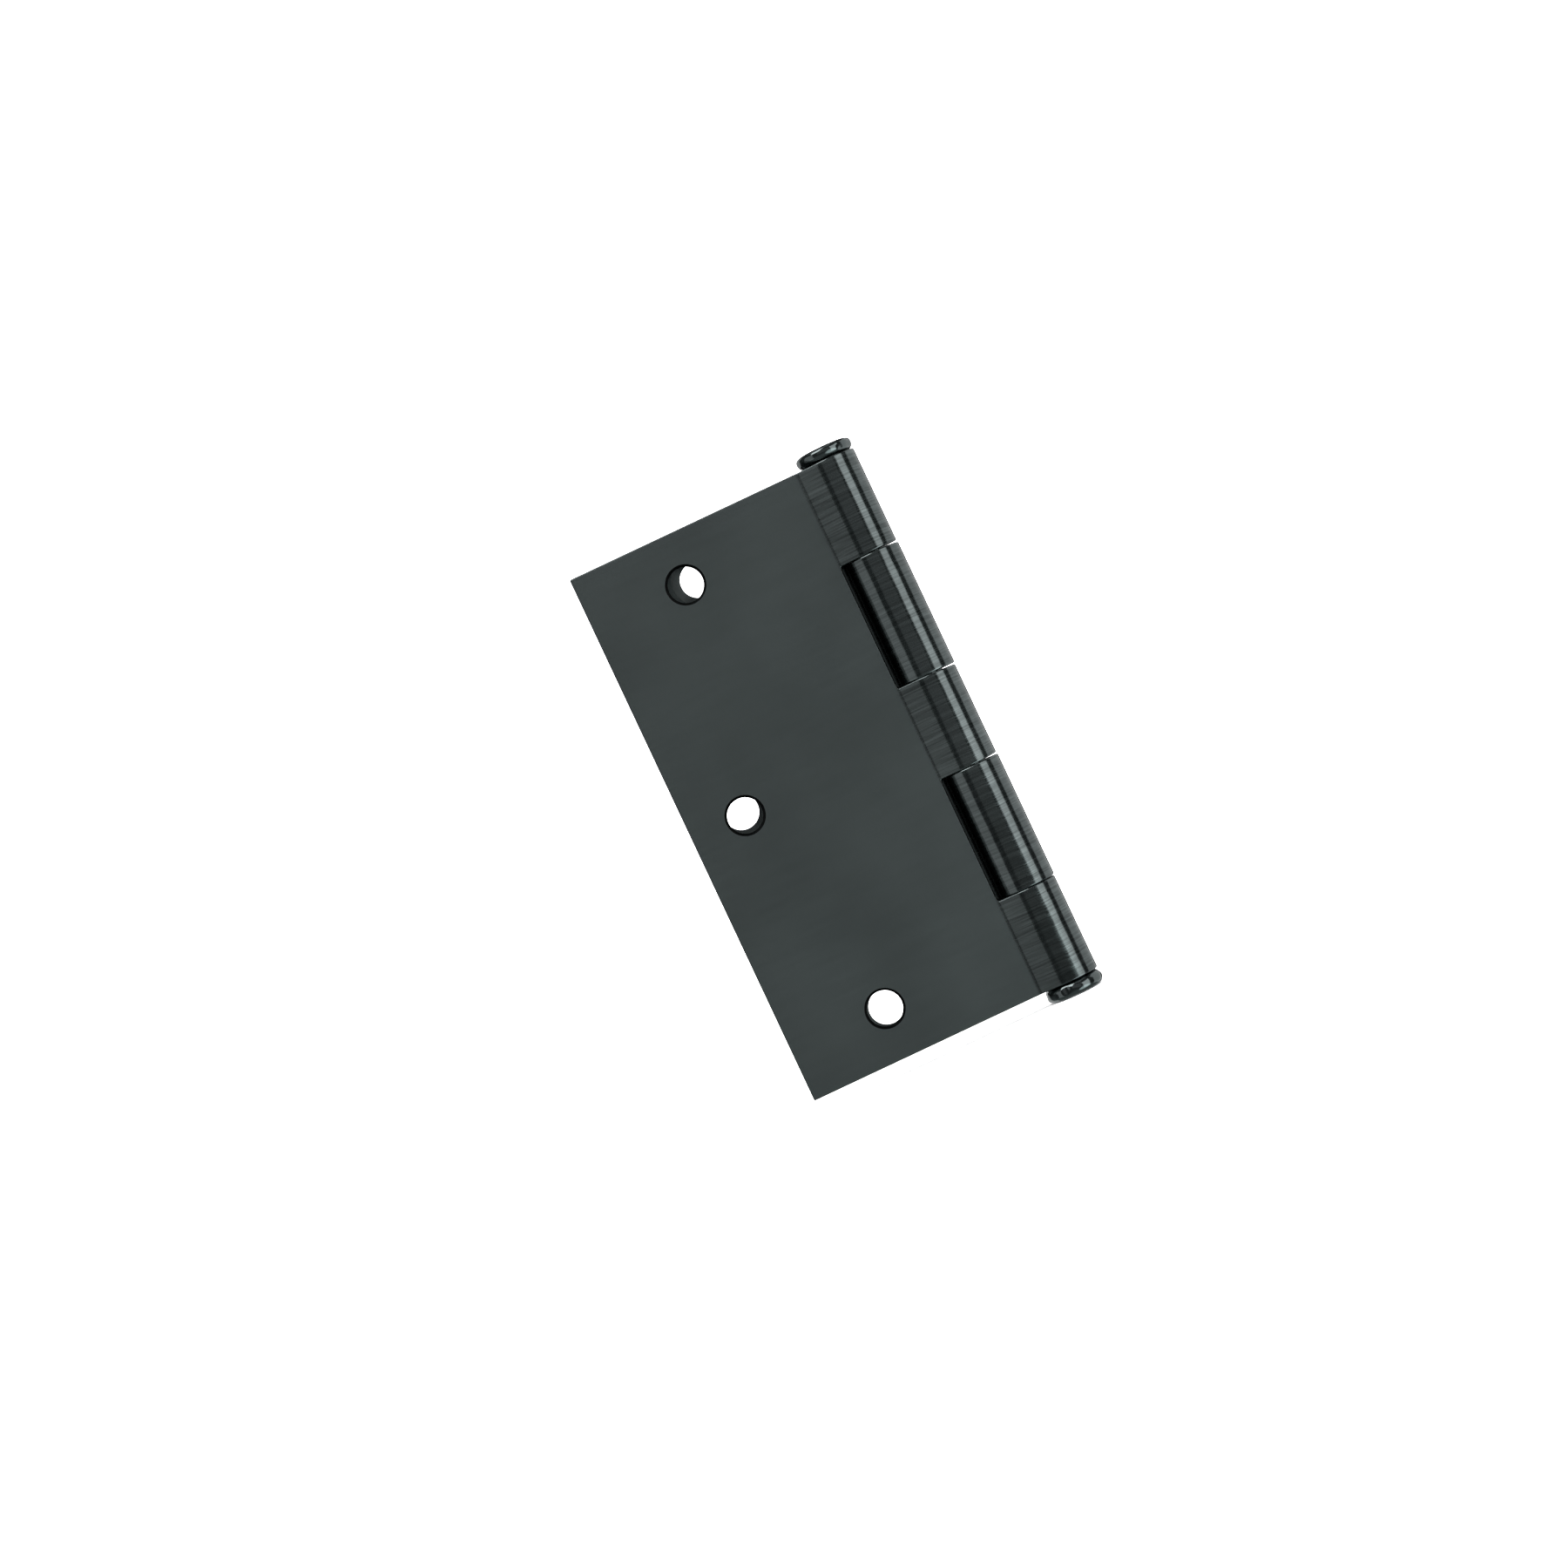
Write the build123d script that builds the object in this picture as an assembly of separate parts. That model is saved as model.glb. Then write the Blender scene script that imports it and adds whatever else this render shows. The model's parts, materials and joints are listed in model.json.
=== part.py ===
from build123d import *
import math
import os

# A loose-pin butt hinge for a house door, closed, in millimetres.
# +Z runs up the hinge pin, and the origin is on the pin's axis at the barrel's mid-height.
# Both leaves lie towards -X when closed: the jamb leaf on the -Y side, the door leaf on +Y.

# Leaves: two stampings of one sheet thickness
leaf_height = 88.9  # 3-1/2 in, the size the hinge is sold by
leaf_reach = 44.0  # pin axis to a leaf's free edge
leaf_thickness = 2.0
leaf_gap = 1.5  # air between the closed leaves

# Knuckles, counted from the top: the jamb leaf has the first, third and fifth
barrel_radius = 4.55
door_knuckle_length = 20.7
middle_knuckle_length = 15.0
knuckle_gaps = (0.35, 0.3, 0.3, 0.15)  # air between neighbours, from the top down
notch_clearance = 0.65  # from the barrel to the edge cut back beside it
bend_clearance = 0.65  # from the barrel to the corner where a leaf turns out to it
bend_radius = 1.0  # on the outer side of that corner
seam_gap = 0.3  # between the curled end of a knuckle and its own leaf

# Screw holes, countersunk on the faces that meet when the hinge is closed
screw_hole_radius = 2.8
screw_land = 0.5  # straight wall left behind the countersink
countersink_angle = 82.0
end_screw_from_end = 8.3
end_screw_from_edge = 15.95
middle_screw_from_edge = 9.1
# The door leaf was punched in another die: each hole's shift (towards the pin, up)
door_hole_shifts = {"top": (1.95, 0.25), "middle": (-0.5, 0.75), "bottom": (0.25, -0.15)}

# Hinge pin: drops in from the top and lifts out again
pin_clearance = 0.05  # radial, in the knuckles' bore
pin_head_overhang = 0.07  # how far the head stands out past the barrel
pin_head_height = 2.2
pin_lead = 1.2  # taper at the lower end

# Bottom tip: a plug pressed in the lowest knuckle, bored for a nail that drives the pin up
tip_overhang = 0.17  # how far the tip stands out past the barrel
tip_height = 2.4
tip_shank_length = 7.0
tip_lead = 0.6  # taper at the shank's inner end
tip_to_pin = 1.0  # air between the plug and the pin's end
drive_hole_radius = 1.5

# Rounded edges of the pin's head and the tip
round_outer = 0.95
round_inner = 0.65
crown = 0.15  # how far the flat end bulges

# Worked out from the sizes above
bore_radius = barrel_radius - leaf_thickness
pin_radius = bore_radius - pin_clearance
pin_head_radius = barrel_radius + pin_head_overhang
tip_radius = barrel_radius + tip_overhang
inner_face = leaf_gap / 2
outer_face = inner_face + leaf_thickness
notch_reach = barrel_radius + notch_clearance
bend_reach = barrel_radius + bend_clearance
leaf_top = leaf_height / 2
end_knuckle_length = (
    leaf_height - 2 * door_knuckle_length - middle_knuckle_length - sum(knuckle_gaps)
) / 2


def knuckle_spans():
    """The (bottom, top) heights of the five knuckles, from the top down."""
    lengths = (
        end_knuckle_length,
        door_knuckle_length,
        middle_knuckle_length,
        door_knuckle_length,
        end_knuckle_length,
    )
    spans = []
    top = leaf_top
    for length, gap in zip(lengths, knuckle_gaps + (0,)):
        spans.append((top - length, top))
        top -= length + gap
    return spans


def polar(radius, degrees):
    """A point at this radius and angle about the pin's axis."""
    angle = math.radians(degrees)
    return Vector(radius * math.cos(angle), radius * math.sin(angle))


def bend_angle():
    """How far the jamb leaf turns at the corner, so that its run meets the barrel in a tangent."""
    corner_distance = math.hypot(bend_reach, outer_face)
    corner_angle = math.atan2(outer_face, bend_reach)
    return math.degrees(math.asin(barrel_radius / corner_distance) - corner_angle)


bend_start = bend_reach + bend_radius * math.tan(math.radians(bend_angle() / 2))


def knuckle_profile():
    """Section of a jamb-leaf knuckle: the bend, a straight run, and a roll about the pin."""
    turn = bend_angle()
    bend_centre = Vector(-bend_start, -outer_face - bend_radius)
    meets_barrel = 270 - turn
    roll_turn = 360 - math.degrees(math.acos((bore_radius - seam_gap) / barrel_radius))
    roll_middle = meets_barrel + roll_turn / 2
    roll_end = meets_barrel + roll_turn
    inner_bend_radius = bend_radius + leaf_thickness

    def on_bend(radius, share):
        """A point on the bend, at this share of its turn."""
        return bend_centre + polar(radius, 90 - turn * share)

    outline = [
        ThreePointArc(on_bend(bend_radius, 0), on_bend(bend_radius, 0.5), on_bend(bend_radius, 1)),
        Line(on_bend(bend_radius, 1), polar(barrel_radius, meets_barrel)),
        ThreePointArc(
            polar(barrel_radius, meets_barrel),
            polar(barrel_radius, roll_middle),
            polar(barrel_radius, roll_end),
        ),
        Line(polar(barrel_radius, roll_end), polar(bore_radius, roll_end)),
        ThreePointArc(
            polar(bore_radius, roll_end),
            polar(bore_radius, roll_middle),
            polar(bore_radius, meets_barrel),
        ),
        Line(polar(bore_radius, meets_barrel), on_bend(inner_bend_radius, 1)),
        ThreePointArc(
            on_bend(inner_bend_radius, 1),
            on_bend(inner_bend_radius, 0.5),
            on_bend(inner_bend_radius, 0),
        ),
        Line(on_bend(inner_bend_radius, 0), on_bend(bend_radius, 0)),
    ]
    return make_face(outline)


def sheet(reach, bottom, top):
    """A stretch of the jamb leaf's flat sheet, from its free edge to this distance from the pin."""
    middle = Pos(-(leaf_reach + reach) / 2, -(inner_face + outer_face) / 2, (bottom + top) / 2)
    return middle * Box(leaf_reach - reach, leaf_thickness, top - bottom)


def screw_places(shifts):
    """Name, x and z of the three screw holes of a leaf whose holes are shifted so."""
    end_x = end_screw_from_edge - leaf_reach
    end_z = leaf_top - end_screw_from_end
    nominal = {
        "top": (end_x, end_z),
        "middle": (middle_screw_from_edge - leaf_reach, 0),
        "bottom": (end_x, -end_z),
    }
    return {
        name: (x + shifts[name][0], z + shifts[name][1]) for name, (x, z) in nominal.items()
    }


def screw_cutter(x, z):
    """The hole and its countersink, for a leaf on the jamb side."""
    sink_depth = leaf_thickness - screw_land
    sink_radius = screw_hole_radius + sink_depth * math.tan(math.radians(countersink_angle / 2))
    overshoot = 1.0
    slope = (sink_radius - screw_hole_radius) / sink_depth
    hole = Cylinder(screw_hole_radius, leaf_thickness + 2 * overshoot)
    sink = Pos(0, 0, screw_land - leaf_thickness / 2) * Cone(
        screw_hole_radius,
        sink_radius + slope * overshoot,
        sink_depth + overshoot,
        align=(Align.CENTER, Align.CENTER, Align.MIN),
    )
    middle_of_sheet = Pos(x, -(inner_face + outer_face) / 2, z)
    return middle_of_sheet * Rot(X=-90) * (hole + sink)


def leaf(own_knuckles, shifts):
    """A leaf on the jamb side with the knuckles of these numbers, and notches beside the rest."""
    spans = knuckle_spans()
    last = len(spans) - 1
    section = knuckle_profile()
    body = Part()
    for number, (bottom, top) in enumerate(spans):
        if number in own_knuckles:
            body += sheet(bend_start, bottom, top)
            body += Pos(0, 0, bottom) * extrude(section, top - bottom)
        else:
            # the notch stops where this leaf's own knuckles start, or at the leaf's end
            notch_top = spans[number - 1][0] if number > 0 else leaf_top
            notch_bottom = spans[number + 1][1] if number < last else -leaf_top
            body += sheet(notch_reach, notch_bottom, notch_top)
    for x, z in screw_places(shifts).values():
        body -= screw_cutter(x, z)
    return body


def jamb_leaf():
    """The leaf that stays on the door frame, with three knuckles."""
    straight = {name: (0, 0) for name in door_hole_shifts}
    return leaf((0, 2, 4), straight)


def door_leaf():
    """The leaf that swings with the door, with two knuckles, folded against the jamb leaf."""
    return mirror(leaf((1, 3), door_hole_shifts), about=Plane.XZ)


def button_on_shank(radius, height, shank_radius, shank_length, lead):
    """A turned button with its seat at z = 0 and its shank below, tapered over the lead."""
    rim = height - crown
    flat_radius = radius - round_outer
    crown_radius = (flat_radius**2 + crown**2) / (2 * crown)
    crown_turn = math.degrees(math.asin(flat_radius / crown_radius))
    inner_middle = polar(round_inner, -45) + Vector(radius - round_inner, round_inner)
    outer_middle = polar(round_outer, 45) + Vector(flat_radius, rim - round_outer)
    outline = [
        Polyline(
            (0, height),
            (0, -shank_length),
            (shank_radius - lead / 2, -shank_length),
            (shank_radius, lead - shank_length),
            (shank_radius, 0),
            (radius - round_inner, 0),
        ),
        ThreePointArc((radius - round_inner, 0), inner_middle, (radius, round_inner)),
        Line((radius, round_inner), (radius, rim - round_outer)),
        ThreePointArc((radius, rim - round_outer), outer_middle, (flat_radius, rim)),
        CenterArc((0, height - crown_radius), crown_radius, 90 - crown_turn, crown_turn),
    ]
    return revolve(Plane.XZ * make_face(outline), Axis.Z)


def hinge_pin():
    """The loose pin: a button head that rests on the top knuckle, and a plain shank."""
    shank_length = leaf_height - tip_shank_length - tip_to_pin
    pin = button_on_shank(pin_head_radius, pin_head_height, pin_radius, shank_length, pin_lead)
    return Pos(0, 0, leaf_top) * pin


def bottom_tip():
    """The plug that closes the barrel's lower end, with its drive hole."""
    plug = button_on_shank(tip_radius, tip_height, bore_radius, tip_shank_length, tip_lead)
    drive_hole = Cylinder(drive_hole_radius, 2 * (tip_height + tip_shank_length))
    return Pos(0, 0, -leaf_top) * Rot(X=180) * (plug - drive_hole)


pieces = {
    "jamb_leaf": jamb_leaf(),
    "door_leaf": door_leaf(),
    "hinge_pin": hinge_pin(),
    "bottom_tip": bottom_tip(),
}

os.makedirs("parts", exist_ok=True)
for name, piece in pieces.items():
    export_step(piece, f"parts/{name}.step")
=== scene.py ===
import json
import math

import bmesh
import bpy
from bpy.props import FloatProperty, FloatVectorProperty, IntProperty, PointerProperty
from mathutils import Matrix, Vector, noise


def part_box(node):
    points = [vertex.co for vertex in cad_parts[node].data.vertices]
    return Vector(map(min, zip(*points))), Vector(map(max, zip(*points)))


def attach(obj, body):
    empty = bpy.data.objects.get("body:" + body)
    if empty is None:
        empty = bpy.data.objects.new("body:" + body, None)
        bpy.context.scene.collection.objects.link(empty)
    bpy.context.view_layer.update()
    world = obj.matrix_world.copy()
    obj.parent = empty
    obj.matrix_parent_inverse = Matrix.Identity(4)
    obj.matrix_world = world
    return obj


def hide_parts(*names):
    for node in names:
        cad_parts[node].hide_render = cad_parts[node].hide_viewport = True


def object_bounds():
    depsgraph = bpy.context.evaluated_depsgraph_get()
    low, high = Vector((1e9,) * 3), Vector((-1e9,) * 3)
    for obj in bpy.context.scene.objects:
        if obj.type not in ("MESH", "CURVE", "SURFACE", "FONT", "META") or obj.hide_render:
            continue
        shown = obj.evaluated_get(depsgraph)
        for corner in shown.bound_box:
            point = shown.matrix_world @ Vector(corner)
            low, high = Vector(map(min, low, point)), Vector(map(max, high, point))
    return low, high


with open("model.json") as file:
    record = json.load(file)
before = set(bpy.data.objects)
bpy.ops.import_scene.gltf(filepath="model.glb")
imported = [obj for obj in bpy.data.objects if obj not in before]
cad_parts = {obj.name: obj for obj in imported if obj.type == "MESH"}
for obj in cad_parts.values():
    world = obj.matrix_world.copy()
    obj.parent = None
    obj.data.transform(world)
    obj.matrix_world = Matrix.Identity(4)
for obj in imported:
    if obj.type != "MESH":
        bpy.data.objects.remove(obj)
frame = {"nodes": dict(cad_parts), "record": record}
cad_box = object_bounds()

bl_info = {
    "name": "Loose-pin Butt Hinge",
    "version": (1, 0, 0),
    "blender": (4, 5, 0),
    "location": "View3D > Sidebar > Hinge",
    "description": "Builds the leaves, pin and tip of a loose-pin butt hinge around its CAD frame",
    "category": "Add Mesh",
}

# Everything is in metres, in the CAD frame: Z runs up the pin, the closed leaves lie towards -X.
MM = 0.001

# Leaves
PUNCH_PAST = 1.0 * MM  # how far a punch reaches past each face of the sheet
ROOT_RUN = 9.0 * MM  # along a knuckle, from the start of its roll to where its root's flare ends
CURL_RUN = 3.0 * MM  # along a knuckle, how far the flare of its curled end takes to grow
CURL_REACH = 5.0 * MM  # from the start of that flare to the curled end

# Pin and tip
PIN_LEAD = 1.2 * MM  # taper at the pin's lower end
TIP_LEAD = 0.6 * MM  # taper at the inner end of the tip's shank
DRIVE_HOLE_RADIUS = 1.5 * MM  # for a nail that pushes the pin up
SMALL_ROUND = 0.15 * MM  # on the edges of the pin's end and of the drive hole
BUTTON_MARGIN = 0.005 * MM  # keeps the buttons just inside their CAD nodes
DENT_SIZE = 1.8 * MM
DENTED_SHARE = 0.2  # outer share of a button's radius that is dented

# Where a leaf's finish changes, in distances past the start of the roll, along the blank
BURNISHED_FROM, BURNISHED_FULLY = -0.5 * MM, 0.1 * MM
WORKED_FROM, WORKED_FULLY = -4.4 * MM, -3.4 * MM
BEND_AT = -3.95 * MM
PRESSED_FULLY, PRESSED_TO = 0.2 * MM, 0.6 * MM  # to either side of the bend

# A face's cut is 0 on the sheet's two faces and 1 square across it. The holes' cones lie between.
CONE_CUT, CONE_SPREAD = 0.41, 0.09

# How far the details of a leaf's finish stand apart from the rest of it
LINE_TONE = 0.28  # of the rolling lines, to either side of the tone around them
LINE_GLOSS = 0.07  # of the rolling lines, to either side of the roughness around them
PRESSED_GLOSS = 0.16  # how much less rough the pressed bend is
EDGE_ROUGHNESS = 0.2
# painted shade: how dark the hole entries and the inside of the worked stretch are made, as a
# share of their tone
PAINTED_SHADE_TONE = 0.08


# ---------------------------------------------------------------- sizes read from the CAD frame


def cad_points(node):
    """The corner points of a CAD node."""
    return [vertex.co.copy() for vertex in frame["nodes"][node].data.vertices]


def levels(values):
    """The distinct values, to a micrometre, from the lowest up."""
    return sorted({round(value, 6) for value in values})


def mount(name):
    """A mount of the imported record."""
    return next(m for m in frame["record"]["mounts"] if m["name"] == name)


def knuckle_spans(node):
    """The (bottom, top) heights of a leaf's own knuckles, read on the side away from the sheet."""
    heights = levels(p.z for p in cad_points(node) if p.x > barrel_radius / 2)
    return list(zip(heights[::2], heights[1::2]))


def hole_places(side):
    """The x and z of the three screw holes of the "jamb" or the "door" leaf."""
    found = [mount(f"{side}_screw_{row}")["pos_m"] for row in ("top", "middle", "bottom")]
    return [(x, z) for x, _, z in found]


leaf_low, leaf_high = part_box("jamb_leaf")
barrel_radius = leaf_high.x
free_edge = leaf_low.x
leaf_top = leaf_high.z
outer_face, inner_face = (
    -y for y in levels(p.y for p in cad_points("jamb_leaf") if p.x < free_edge + MM)
)
sheet_thickness = outer_face - inner_face
bore_radius = barrel_radius - sheet_thickness
screw_radius = mount("jamb_screw_top")["dims"]["r_mm"] * MM
screw_land = mount("jamb_screw_top")["dims"]["length_mm"] * MM


# ---------------------------------------------------------------- what a user may change


def linear(code):
    """An sRGB hex colour as linear RGBA."""
    values = (int(code[i : i + 2], 16) / 255 for i in (1, 3, 5))
    curve = (v / 12.92 if v <= 0.04045 else ((v + 0.055) / 1.055) ** 2.4 for v in values)
    return (*curve, 1)


class HingeLeafSizes(bpy.types.PropertyGroup):
    """Sizes of the two stamped and rolled leaves."""

    bend_radius: FloatProperty(
        name="Bend radius",
        description="Radius on the outer side of the corner where a knuckle leaves the sheet",
        default=1.0 * MM,
        unit="LENGTH",
    )
    bend_clearance: FloatProperty(
        name="Bend clearance",
        description="From the barrel to the corner where the sheet turns out to it",
        default=0.65 * MM,
        unit="LENGTH",
    )
    notch_clearance: FloatProperty(
        name="Notch clearance",
        description="From the barrel to the edge cut back beside it",
        default=0.65 * MM,
        unit="LENGTH",
    )
    seam_gap: FloatProperty(
        name="Seam gap",
        description="Air between the curled end of a knuckle and its own leaf",
        default=0.3 * MM,
        unit="LENGTH",
    )
    edge_round: FloatProperty(
        name="Edge rounding",
        description="How far the stamped edges are rounded by tumbling",
        default=0.24 * MM,
        unit="LENGTH",
    )
    root_fillet: FloatProperty(
        name="Root fillet",
        description="Radius in the corner between a knuckle's root and the notch beside it",
        default=0.55 * MM,
        unit="LENGTH",
    )
    root_flare: FloatProperty(
        name="Root flare",
        description="Share of the air beside a knuckle that the jamb leaf's roots take up",
        default=0.88,
        min=0,
        max=0.95,
    )
    side_play: FloatProperty(
        name="Side play",
        description="How far the door leaf's knuckles stand out past the jamb leaf's",
        default=0.1 * MM,
        unit="LENGTH",
    )
    hole_entry: FloatProperty(
        name="Hole entry",
        description="How much wider a punched hole is at the outer face than at its waist",
        default=0.4 * MM,
        unit="LENGTH",
    )
    countersink_angle: FloatProperty(
        name="Countersink angle",
        description="Full angle of the countersinks",
        default=math.radians(82),
        subtype="ANGLE",
        unit="ROTATION",
    )
    roll_steps: IntProperty(
        name="Roll steps",
        description="Facets round each knuckle",
        default=96,
        min=24,
    )


class HingeTurnedSizes(bpy.types.PropertyGroup):
    """Sizes of the pin and the bottom tip."""

    outer_round: FloatProperty(
        name="Outer rounding",
        description="Radius of a button's edge on the far side from the barrel",
        default=0.8 * MM,
        unit="LENGTH",
    )
    inner_round: FloatProperty(
        name="Inner rounding",
        description="Radius of a button's edge next to the barrel",
        default=1.15 * MM,
        unit="LENGTH",
    )
    crown: FloatProperty(
        name="Crown",
        description="How far a button's flat end bulges",
        default=0.15 * MM,
        unit="LENGTH",
    )
    hammering: FloatProperty(
        name="Hammering",
        description="Depth of the dents that heading leaves in the buttons",
        default=0.35 * MM,
        unit="LENGTH",
    )
    turn_steps: IntProperty(
        name="Turn steps",
        description="Facets round a turned piece",
        default=96,
        min=24,
    )


class HingeFinish(bpy.types.PropertyGroup):
    """Colours and gloss of the plating."""

    sheet_colour: FloatVectorProperty(
        name="Sheet colour",
        description="Colour of the black plating on the leaves",
        default=linear("#616868")[:3],
        subtype="COLOR",
        min=0,
        max=1,
    )
    pin_colour: FloatVectorProperty(
        name="Pin colour",
        description="Colour of the black plating on the pin and the tip",
        default=linear("#616868")[:3],
        subtype="COLOR",
        min=0,
        max=1,
    )
    flat_tone: FloatProperty(
        name="Flat tone",
        description="Tone of the dull flats, as a share of the burnished knuckles'",
        default=0.8,
        min=0,
    )
    flat_roughness: FloatProperty(
        name="Flat roughness",
        description="Roughness of the flat sheet",
        default=0.42,
        min=0,
        max=1,
    )
    knuckle_roughness: FloatProperty(
        name="Knuckle roughness",
        description="Roughness where the rolling die burnished the sheet",
        default=0.14,
        min=0,
        max=1,
    )
    pin_roughness: FloatProperty(
        name="Pin roughness",
        description="Roughness of the turned pieces",
        default=0.11,
        min=0,
        max=1,
    )


class HingeStage(bpy.types.PropertyGroup):
    """Floor and camera."""

    floor_colour: FloatVectorProperty(
        name="Floor colour",
        description="Colour of the paper floor",
        default=linear("#F6F6F6")[:3],
        subtype="COLOR",
        min=0,
        max=1,
    )
    camera_distance: FloatProperty(
        name="Camera distance",
        description="From the camera to the pin's plane",
        default=0.5,
        unit="LENGTH",
    )
    camera_roll: FloatProperty(
        name="Camera roll",
        description="How far the hinge leans in the picture",
        default=math.radians(25.2),
        subtype="ANGLE",
        unit="ROTATION",
    )
    camera_lens: FloatProperty(
        name="Lens",
        description="Focal length in millimetres, on a 36 mm sensor",
        default=73.95,
    )


# ---------------------------------------------------------------- tools of the trade


def add(tree, kind, inputs=(), **settings):
    """Adds a node with its settings, and fills its inputs with values or links."""
    node = tree.nodes.new(kind)
    for name, value in settings.items():
        setattr(node, name, value)
    for key, value in dict(inputs).items():
        socket = node.inputs[key]
        if isinstance(value, bpy.types.NodeSocket):
            tree.links.new(value, socket)
        else:
            socket.default_value = value
    return node


def linked(name, mesh):
    """An object of this mesh in the scene."""
    piece = bpy.data.objects.new(name, mesh)
    bpy.context.scene.collection.objects.link(piece)
    return piece


def modelling_tree(name, sizes):
    """A new Geometry Nodes tree with a named input for each size, and what the inputs give."""
    tree = bpy.data.node_groups.new(name, "GeometryNodeTree")
    tree.interface.new_socket("Geometry", in_out="INPUT", socket_type="NodeSocketGeometry")
    for size, kind in sizes.items():
        tree.interface.new_socket(size, in_out="INPUT", socket_type=kind)
    tree.interface.new_socket("Geometry", in_out="OUTPUT", socket_type="NodeSocketGeometry")
    return tree, add(tree, "NodeGroupInput").outputs


def end_tree(tree, geometry, material):
    """Ends a tree in real geometry with its material."""
    real = add(tree, "GeometryNodeRealizeInstances", {0: geometry}).outputs[0]
    painted = add(tree, "GeometryNodeSetMaterial", {0: real, "Material": material}).outputs[0]
    add(tree, "NodeGroupOutput", {0: painted})


def use_tree(piece, tree, values):
    """Puts a tree on a piece, with the value of each named input."""
    modifier = piece.modifiers.new(tree.name, "NODES")
    modifier.node_group = tree
    for socket in tree.interface.items_tree:
        if socket.in_out == "INPUT" and socket.name in values:
            modifier[socket.identifier] = values[socket.name]
    return modifier


def plain_mesh(piece):
    """The piece's mesh with its modifiers in it. The modifiers and the old mesh are removed."""
    graph = bpy.context.evaluated_depsgraph_get()
    mesh = bpy.data.meshes.new_from_object(
        piece.evaluated_get(graph), preserve_all_data_layers=True, depsgraph=graph
    )
    piece.modifiers.clear()
    piece.data = mesh
    return mesh


def clean_shell(mesh):
    """Merges the mesh's doubles, turns its faces outwards and puts them in a fixed order."""
    shell = bmesh.new()
    shell.from_mesh(mesh)
    bmesh.ops.remove_doubles(shell, verts=shell.verts, dist=0.002 * MM)
    bmesh.ops.dissolve_degenerate(shell, edges=shell.edges, dist=0.001 * MM)
    bmesh.ops.recalc_face_normals(shell, faces=shell.faces)
    # merging leaves edges and faces in an order that differs from run to run
    shell.verts.index_update()
    for parts in (shell.edges, shell.faces):
        in_order = sorted(parts, key=lambda part: sorted(corner.index for corner in part.verts))
        for index, part in enumerate(in_order):
            part.index = index
        parts.sort()
    for face in shell.faces:
        face.smooth = True
    shell.to_mesh(mesh)
    shell.free()


def finish_shading(piece):
    """Keeps sharp edges crisp, and lets flats stay flat beside their rounded edges."""
    clean_shell(piece.data)
    piece.data.set_sharp_from_angle(angle=math.radians(38))
    weighted = piece.modifiers.new("Weighted normals", "WEIGHTED_NORMAL")
    weighted.keep_sharp = True
    weighted.weight = 100
    plain_mesh(piece)


# ---------------------------------------------------------------- materials


def new_material(name):
    """A new material with an empty tree, and the piece's own coordinates in it."""
    material = bpy.data.materials.new(name)
    material.use_nodes = True
    tree = material.node_tree
    tree.nodes.clear()
    place = add(tree, "ShaderNodeTexCoord").outputs["Object"]
    return material, tree, place


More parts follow.
